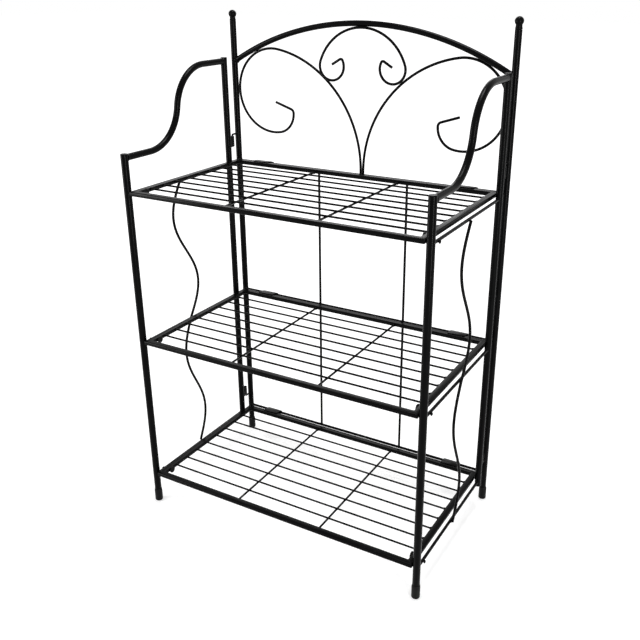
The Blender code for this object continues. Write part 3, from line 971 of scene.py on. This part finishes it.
@dataclass
class SideFrame(SubAssembly):
    """Front leg, rear upright, curved arm rail, bars with support pins, wavy wire and hinge straps.

    A support pin's nose and head are in shares of their depth and radius. A bead is a pair of length
    and radius.
    """

    side: Side = Side.LEFT
    leg_radius: float = 0.0070
    upright_radius: float = 0.0065
    tube_rim: float = 0.0011
    foot: FootCap = FootCap()
    arm_radius: float = 0.0063
    arm_sweep: float = 80.0
    arm_sink: float = 0.0012
    arm_fillet: float = 0.0011
    arm_fillet_sink: float = 0.0004
    bar_radius: float = 0.0029
    bar_sink: float = 0.003
    bar_fillet: float = 0.0012
    wave_radius: float = 0.0027
    wave_rim: float = 0.0006
    wave_lap: float = 0.0003
    wave_swings: Pair = (0.031, 0.0245)
    wave_steps: int = 28
    wave_bead: Pair = (0.0060, 0.0014)
    support_radius: float = 0.0018
    support_from_leg: float = 0.025
    support_drop: float = 0.0012
    nose_depth: float = 0.0010
    nose_share: float = 0.72
    nose_profile: Profile = ((0.5, 0.93), (0.5, 1.0))
    head_radius: float = 0.0034
    head_depth: float = 0.0025
    head_profile: Profile = (
        (0.0, 0.94), (0.08, 1.0), (0.22, 1.0), (0.26, 0.90), (0.26, 0.68), (0.18, 0.30),
    )
    pin_radius: float = 0.0020
    strap_thickness: float = 0.0016
    strap_gap: float = 0.0003
    strap_root: float = 0.80
    strap_wrap: float = 280.0
    strap_bead_root: float = 0.93
    strap_bead_sink: float = 0.0004
    strap_bead_share: float = 0.8
    strap_bead_radius: float = 0.0014

    def __post_init__(self) -> None:
        """Names the body after the side."""
        self.body = self.side.value + "_side"

    @property
    def x(self) -> float:
        """The plane of this side frame."""
        return self.side.sign * self.layout.half_width

    def node(self, *words: str) -> str:
        """A CAD node's name on this side."""
        return "_".join((self.side.value, *words))

    def build(self) -> None:
        """Builds every piece of the side frame."""
        self.build_tube("front_leg", self.layout.front_y, self.leg_radius)
        self.build_tube("rear_upright", self.layout.upright_y, self.upright_radius)
        cap = self.foot.build(self.node("front_foot_cap"), self.x, self.layout.front_y, self.leg_radius)
        self.plastic(cap, self.node("front_foot"))
        self.build_arm()
        for tier in Tier:
            self.build_bar(tier)
        self.build_wave()
        for level in ("upper", "lower"):
            self.build_strap(level)
        self.lay_welds()

    def build_tube(self, name: str, y: float, radius: float) -> None:
        """Cuts one upright tube and closes its ends.

        Args:
            name: The CAD node's name without its side.
            y: Place of its axis.
            radius: Radius of the tube.
        """
        low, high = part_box(self.node(name))
        tube = Wire(self.node(name, "tube"), Vector((self.x, y, low.z)), UPWARD, radius, Ring.TUBE)
        self.steel(tube.run(high.z - low.z).end(self.tube_rim), self.node(name))

    def weld_ends(self, sink: float, front_z: float, rear_z: float, radius: float, size: float) -> None:
        """Lays weld fillets where a rail or bar meets the leg and the upright.

        Args:
            sink: How far the fillets stand in the tubes' skins.
            front_z: Height at the leg.
            rear_z: Height at the upright.
            radius: Radius of the rail or bar.
            size: Width of the fillets.
        """
        front = self.layout.front_y + self.leg_radius - sink
        rear = self.layout.upright_y - self.upright_radius + sink
        self.fillet(Vector((self.x, front, front_z)), BACKWARD, radius, size)
        self.fillet(Vector((self.x, rear, rear_z)), -BACKWARD, radius, size)

    def build_arm(self) -> None:
        """Bends the arm rail from the leg, up through two bends, to the upright."""
        low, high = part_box(self.node("arm_rail"))
        front = low.z + self.arm_radius
        rear = high.z - self.arm_radius
        sweep = math.radians(self.arm_sweep)
        bend = (rear - front) / 2 / (1 - math.cos(sweep))
        middle = (self.layout.front_y + self.layout.upright_y) / 2
        level = middle - bend * math.sin(sweep) - self.layout.front_y - self.arm_sink
        start = Vector((self.x, self.layout.front_y + self.arm_sink, front))
        tube = Wire(self.node("arm_tube"), start, BACKWARD, self.arm_radius, Ring.RAIL)
        tube.run(level)
        tube.bend(ACROSS, bend, self.arm_sweep)
        tube.bend(-ACROSS, bend, self.arm_sweep)
        tube.run(level)
        self.steel(tube.end(), self.node("arm_rail"))
        self.weld_ends(self.arm_fillet_sink, front, rear, self.arm_radius, self.arm_fillet)

    def build_bar(self, tier: Tier) -> None:
        """Cuts one side bar and sets its support pin across it."""
        low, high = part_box(self.node(tier.value, "bar"))
        z = high.z - self.bar_radius
        front = self.layout.front_y + self.leg_radius - self.bar_sink
        rear = self.layout.upright_y - self.upright_radius + self.bar_sink
        bar = Wire("bar", Vector((self.x, front, z)), BACKWARD, self.bar_radius, Ring.BAR)
        rod = bar.run(rear - front).end()
        self.weld_ends(0.0, z, z, self.bar_radius, self.bar_fillet)
        inner, outer = (low.x, high.x) if self.side is Side.RIGHT else (high.x, low.x)
        start = Vector((inner, self.layout.front_y + self.support_from_leg, z - self.support_drop))
        outward = ACROSS * self.side.sign
        pin = Wire("pin", start, outward, self.support_radius * self.nose_share, Ring.PIN)
        pin.shape(self.nose_profile, self.nose_depth, self.support_radius)
        pin.run(abs(outer - inner) - self.head_depth - self.nose_depth)
        pin.shape(self.head_profile, self.head_depth, self.head_radius)
        piece = join(self.node(tier.value, "bar_and_pin"), [rod, pin.end()])
        self.steel(piece, self.node(tier.value, "bar"))

    def build_wave(self) -> None:
        """Bends the wavy wire, one full wave in each bay, and spot welds it to the bars."""
        x = self.x + self.side.sign * (self.bar_radius + self.wave_radius - self.wave_lap)
        middle = (self.layout.front_y + self.layout.upright_y) / 2
        tops = [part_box(self.node(tier.value, "bar"))[1].z for tier in reversed(Tier)]
        levels = [top - self.bar_radius for top in tops]
        line: list[Vector] = []
        for above, below, reach in zip(levels, levels[1:], self.wave_swings):
            for step in range(1 if line else 0, self.wave_steps + 1):
                share = step / self.wave_steps
                swing = reach * math.sin(2 * math.pi * share)
                line.append(Vector((x, middle - swing, above + (below - above) * share)))
        wire = Wire(self.node("wavy_wire"), line[0], line[1] - line[0], self.wave_radius, Ring.WIRE)
        self.steel(wire.follow(line[1:]).end(self.wave_rim), self.node("wave_wire"))
        touch = self.x + self.side.sign * (self.bar_radius + self.wave_lap / 2)
        for z in levels:
            self.bead(Vector((touch, middle, z)), BACKWARD, *self.wave_bead)

    def build_strap(self, level: str) -> None:
        """Folds one hinge strap from the upright round the hinge pin."""
        node = self.node(level, "hinge_strap")
        low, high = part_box(node)
        inward = -self.side.sign
        ring = self.pin_radius + self.strap_gap + self.strap_thickness / 2
        x = self.x + inward * ring
        root = self.layout.upright_y + self.upright_radius * self.strap_root
        start = Vector((x, root, low.z))
        strap = Strap(node + "_strip", start, Vector((x, self.layout.hinge_y, high.z)))
        centre = Vector((self.x, self.layout.hinge_y, (low.z + high.z) / 2))
        strap.roll(centre, UPWARD, inward * self.strap_wrap)
        self.steel(strap.end(self.strap_thickness), node)
        seam_x = x - inward * self.strap_bead_sink
        seam_y = self.layout.upright_y + self.upright_radius * self.strap_bead_root
        length = (high.z - low.z) * self.strap_bead_share
        self.bead(Vector((seam_x, seam_y, centre.z)), UPWARD, length, self.strap_bead_radius)


@dataclass
class Shelf(SubAssembly):
    """Rail frame, wire deck, hinge clips and bumpers of one shelf.

    A deck wire's weld is in metres: lengths, with radii beyond the wire's. A shank's nose is in metres
    along and in shares of its radius, and a bumper's face in shares of its depth and radius.
    """

    tier: Tier = Tier.TOP
    rail_width: float = 0.0125
    rail_edge: float = 0.0021
    rail_segments: int = 4
    slat_count: int = 8
    slat_radius: float = 0.0019
    slat_lift: float = 0.0010
    cross_radius: float = 0.0021
    cross_lap: float = 0.0010
    deck_weld: Profile = ((0.0012, 0.0012), (0.0008, 0.0009), (0.0010, 0.0004), (0.0012, 0.0))
    deck_weld_sink: float = 0.0008
    bar_radius: float = 0.0029
    clip_thickness: float = 0.0015
    clip_lap: float = 0.0080
    clip_gap: float = 0.0003
    clip_slopes: Pair = (0.35, 0.65)
    clip_wrap: float = 270.0
    clip_bead: Pair = (0.0075, 0.0012)
    clip_bead_inset: float = 0.007
    clip_bead_sink: float = 0.0003
    shank_radius: float = 0.0011
    shank_head: float = 0.0002
    shank_share: float = 0.5
    shank_gap: float = 0.0003
    shank_nose: Profile = ((0.0002, 0.9), (0.0004, 1.0))
    bumper_radius: float = 0.0070
    bumper_depth: float = 0.0032
    bumper_profile: Profile = (
        (0.0, 0.93), (0.09375, 1.0), (0.42, 1.0), (0.20, 0.965), (0.17, 0.87), (0.09, 0.72), (0.0, 0.55),
        (-0.25, 0.47), (-0.125, 0.40), (0.09375, 0.36), (0.21875, 0.26), (0.0625, 0.10),
    )
    seam_insets: Pair = (0.0012, 0.0010)
    seam_sink: float = 0.0005
    seam_radius: float = 0.0009

    def __post_init__(self) -> None:
        """Names the body after the tier and reads the frame's box."""
        self.body = self.tier.value + "_shelf"
        self.low, self.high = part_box(self.body + "_frame")

    def build(self) -> None:
        """Builds every piece of the shelf."""
        self.build_frame()
        self.build_deck()
        for side in Side:
            self.build_clip(side)
            self.build_bumper(side)
        self.build_seams()
        self.lay_welds()

    def build_frame(self) -> None:
        """Draws the rail frame from a plate: inset, opened, raised and rounded along its edges."""
        clear_bench()
        size = self.high - self.low
        middle = (self.low + self.high) / 2
        place = (middle.x, middle.y, self.low.z)
        bpy.ops.mesh.primitive_plane_add(size=1.0, location=place)
        piece = name_piece(self.body + "_rail")
        bpy.ops.object.mode_set(mode="EDIT")
        bpy.ops.mesh.select_mode(type="FACE")
        bpy.ops.transform.resize(value=(size.x, size.y, 1.0), center_override=place)
        bpy.ops.mesh.inset(thickness=self.rail_width)
        bpy.ops.mesh.delete(type="FACE")
        bpy.ops.mesh.select_all(action="SELECT")
        bpy.ops.mesh.extrude_region_move(TRANSFORM_OT_translate={"value": (0.0, 0.0, size.z)})
        bpy.ops.mesh.select_mode(type="EDGE")
        bpy.ops.mesh.select_all(action="DESELECT")
        bpy.ops.mesh.edges_select_sharp(sharpness=RIM_ANGLE)
        bpy.ops.mesh.bevel(offset=self.rail_edge, segments=self.rail_segments, affect="EDGES")
        self.steel(smooth_off(piece), self.body + "_frame")

    def build_deck(self) -> None:
        """Cuts one slat and one cross wire, welded at their ends, and copies them over the shelf."""
        z = (self.low.z + self.high.z) / 2 + self.slat_lift
        front = self.low.y + self.rail_width
        rear = self.high.y - self.rail_width
        pitch = (rear - front) / (self.slat_count + 1)
        reach = self.high.x - self.rail_width
        slat = self.cut_wire(Vector((-reach, front + pitch, z)), ACROSS, 2 * reach, self.slat_radius)
        pieces = [slat]
        for number in range(1, self.slat_count):
            pieces.append(copy_at(slat, BACKWARD * pitch * number))
        under = z - self.slat_radius - self.cross_radius + self.cross_lap
        cross = self.cut_wire(Vector((-reach / 3, front, under)), BACKWARD, rear - front, self.cross_radius)
        pieces += [cross, copy_at(cross, ACROSS * reach * 2 / 3)]
        self.steel(join(self.body + "_wire_deck", pieces), self.body + "_deck")

    def cut_wire(self, start: Vector, heading: Vector, length: float, radius: float) -> Piece:
        """Cuts a straight wire between two rails, with a small weld fillet at each end.

        Args:
            start: Where it leaves the first rail.
            heading: Its direction.
            length: From rail to rail.
            radius: Radius of the wire.

        Returns:
            The wire.
        """
        steps, rises = zip(*self.deck_weld)
        root = start - heading * self.deck_weld_sink
        wire = Wire("deck_wire", root, heading, radius + rises[0], Ring.DECK)
        wire.shape(self.deck_weld, 1.0, 1.0, radius)
        wire.run(length + 2 * self.deck_weld_sink - 2 * sum(steps))
        far_weld = zip(reversed(steps), (*rises[-2::-1], rises[0]))
        return wire.shape(far_weld, 1.0, 1.0, radius).end()

    def build_clip(self, side: Side) -> None:
        """Folds one hinge clip from the rear rail round the back bar."""
        node = "_".join((self.tier.value, side.value, "clip"))
        low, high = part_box(node)
        half = self.clip_thickness / 2
        bar_y = self.layout.bar_y
        bar_z = self.layout.tiers[self.tier]
        root = self.high.y - self.clip_lap
        fold = self.high.y + self.clip_thickness
        top = high.z - half
        drop = bar_z + self.bar_radius + self.clip_gap + half - top
        strap = Strap(node + "_strip", Vector((low.x, root, top)), Vector((high.x, fold, top)))
        for share in self.clip_slopes:
            strap.push(Vector((0.0, (bar_y - fold) / len(self.clip_slopes), drop * share)))
        strap.roll(Vector((0.0, bar_y, bar_z)), ACROSS, -self.clip_wrap)
        self.steel(strap.end(self.clip_thickness), node)
        for x in (low.x + self.clip_bead_inset, high.x - self.clip_bead_inset):
            self.bead(Vector((x, root, self.high.z - self.clip_bead_sink)), ACROSS, *self.clip_bead)

    def build_bumper(self, side: Side) -> None:
        """Turns one round bumper, with its shank through the rail and a dished face."""
        node = "_".join((self.tier.value, side.value, "bumper"))
        middle = Layout.middle(node)
        outer = self.high.x + self.shank_head
        inner = self.high.x - self.rail_width
        start = Vector((side.sign * outer, middle.y, middle.z))
        nose = self.shank_radius * self.shank_share
        stud = Wire(node + "_stud", start, -ACROSS * side.sign, nose, Ring.RAIL)
        stud.shape(self.shank_nose, 1.0, self.shank_radius)
        stud.run(outer - inner - self.shank_gap)
        stud.shape(self.bumper_profile, self.bumper_depth, self.bumper_radius)
        self.plastic(stud.end(), node)

    def build_seams(self) -> None:
        """Lays the weld seams across the rail's four mitred corners, above and below."""
        outer_inset = self.seam_insets[0]
        inner_inset = self.rail_width - self.seam_insets[1]
        for side in Side:
            for edge, step in ((self.low.y, 1), (self.high.y, -1)):
                outer, inner = [
                    Vector((side.sign * (self.high.x - inset), edge + step * inset, 0.0))
                    for inset in (outer_inset, inner_inset)
                ]
                along = inner - outer
                for z in (self.high.z - self.seam_sink, self.low.z + self.seam_sink):
                    middle = (outer + inner) / 2 + UPWARD * z
                    self.bead(middle, along.normalized(), along.length, self.seam_radius)


@dataclass(frozen=True)
class SoftBox:
    """A rectangular lamp that faces a point: its place, size and watts."""

    name: str
    place: Triple
    aim: Triple
    size: Pair
    power: float

    def hang(self) -> None:
        """Hangs the lamp."""
        lamp = bpy.data.lights.new(self.name, "AREA")
        lamp.shape = "RECTANGLE"
        lamp.size, lamp.size_y = self.size
        lamp.energy = self.power
        holder = bpy.data.objects.new(self.name, lamp)
        bpy.context.scene.collection.objects.link(holder)
        holder.location = self.place
        towards = Vector(self.aim) - Vector(self.place)
        holder.rotation_euler = towards.to_track_quat("-Z", "Y").to_euler()


@dataclass(frozen=True)
class Studio:
    """White floor and surroundings, soft boxes and the camera."""

    white: tuple[float, float, float, float] = (1.0, 1.0, 1.0, 1.0)
    floor_size: float = 40.0
    floor_tone: tuple[float, float, float, float] = (0.80, 0.80, 0.80, 1.0)
    floor_glow: float = 0.42
    glow_fade: Pair = (0.8, 3.0)
    soft_light: float = 0.36
    boxes: tuple[SoftBox, ...] = (
        SoftBox("overhead_softbox", (0.1, 0.2, 2.7), (0.0, 0.0, 0.5), (0.85, 0.85), 40.0),
        SoftBox("left_softbox", (-2.05, -1.6, 1.05), (0.0, 0.0, 0.9), (0.45, 1.7), 42.0),
        SoftBox("right_softbox", (2.2, -1.5, 1.05), (0.0, 0.0, 0.9), (0.26, 1.8), 44.0),
        SoftBox("rear_softbox", (-1.3, 2.3, 1.9), (0.0, 0.0, 0.4), (1.6, 0.7), 12.0),
    )
    eye: Triple = (0.7426, -1.2300, 1.0327)
    pitch: float = 0.3871
    yaw: float = 0.5117
    lens: float = 45.11
    sensor_width: float = 36.0
    shift: Pair = (-0.0344, -0.0234)

    def build(self) -> None:
        """Sets up the floor, the world, the lamps and the camera."""
        self.lay_floor()
        self.light_world()
        for box in self.boxes:
            box.hang()
        self.set_camera()
        bpy.context.scene.view_settings.view_transform = "Standard"

    @staticmethod
    def white_for_eye(desk: NodeDesk) -> Socket:
        """Gives 1 where a ray comes from the camera, a reflection or a clear surface, else 0.

        Args:
            desk: The tree to add the nodes to.

        Returns:
            The value.
        """
        path = desk.add("ShaderNodeLightPath")
        seen = desk.math("MAXIMUM", path.outputs["Is Camera Ray"], path.outputs["Is Glossy Ray"])
        return desk.math("MAXIMUM", seen, path.outputs["Is Transmission Ray"])

    def lay_floor(self) -> None:
        """Lays the pale floor, which glows white to the eye and keeps the stand's shadow."""
        clear_bench()
        bpy.ops.mesh.primitive_plane_add(size=self.floor_size)
        floor = name_piece("studio_floor")
        material = bpy.data.materials.new("pale_floor")
        material.use_nodes = True
        desk = NodeDesk(material.node_tree)
        paint = desk.add("ShaderNodeBsdfDiffuse")
        desk.feed(self.floor_tone, paint.inputs["Color"])
        glow = desk.add("ShaderNodeEmission")
        desk.feed(self.white, glow.inputs["Color"])
        place = desk.add("ShaderNodeTexCoord")
        far = desk.add("ShaderNodeVectorMath", operation="LENGTH")
        desk.feed(place.outputs["Object"], far.inputs[0])
        level = desk.spread(far.outputs["Value"], self.glow_fade, (self.floor_glow, 1.0))
        desk.feed(desk.math("MULTIPLY", level, self.white_for_eye(desk)), glow.inputs["Strength"])
        both = desk.add("ShaderNodeAddShader")
        desk.feed(paint.outputs["BSDF"], both.inputs[0])
        desk.feed(glow.outputs["Emission"], both.inputs[1])
        output = desk.add("ShaderNodeOutputMaterial")
        desk.feed(both.outputs["Shader"], output.inputs["Surface"])
        floor.data.materials.append(material)

    def light_world(self) -> None:
        """Makes the surroundings white to the eye and a plain soft light to the rest."""
        world = bpy.data.worlds.new("white_surround")
        bpy.context.scene.world = world
        world.use_nodes = True
        desk = NodeDesk(world.node_tree)
        back = desk.add("ShaderNodeBackground")
        desk.feed(self.white, back.inputs["Color"])
        strength = desk.spread(self.white_for_eye(desk), (0.0, 1.0), (self.soft_light, 1.0))
        desk.feed(strength, back.inputs["Strength"])
        output = desk.add("ShaderNodeOutputWorld")
        desk.feed(back.outputs["Background"], output.inputs["Surface"])

    def set_camera(self) -> None:
        """Sets the camera at the viewing angle of the photograph."""
        lens = bpy.data.cameras.new("view_camera")
        lens.sensor_width = self.sensor_width
        lens.lens = self.lens
        lens.shift_x, lens.shift_y = self.shift
        lens.dof.use_dof = False
        camera = bpy.data.objects.new("view_camera", lens)
        bpy.context.scene.collection.objects.link(camera)
        camera.location = self.eye
        camera.rotation_euler = (math.pi / 2 - self.pitch, 0.0, self.yaw)
        bpy.context.scene.camera = camera


def main() -> None:
    """Builds the studio and the stand's sub-assemblies in order."""
    logging.basicConfig(level=logging.INFO, format="%(message)s")
    Studio().build()
    layout = Layout.read()
    coats = {coat.name: coat.build() for coat in (POWDER_COAT, WELD_COAT, MOULDED_PLASTIC)}
    BackFrame(layout, coats).build()
    for side in Side:
        SideFrame(layout, coats, side=side).build()
    for tier in Tier:
        Shelf(layout, coats, tier=tier).build()
    clear_bench()


if __name__ == "__main__":
    main()
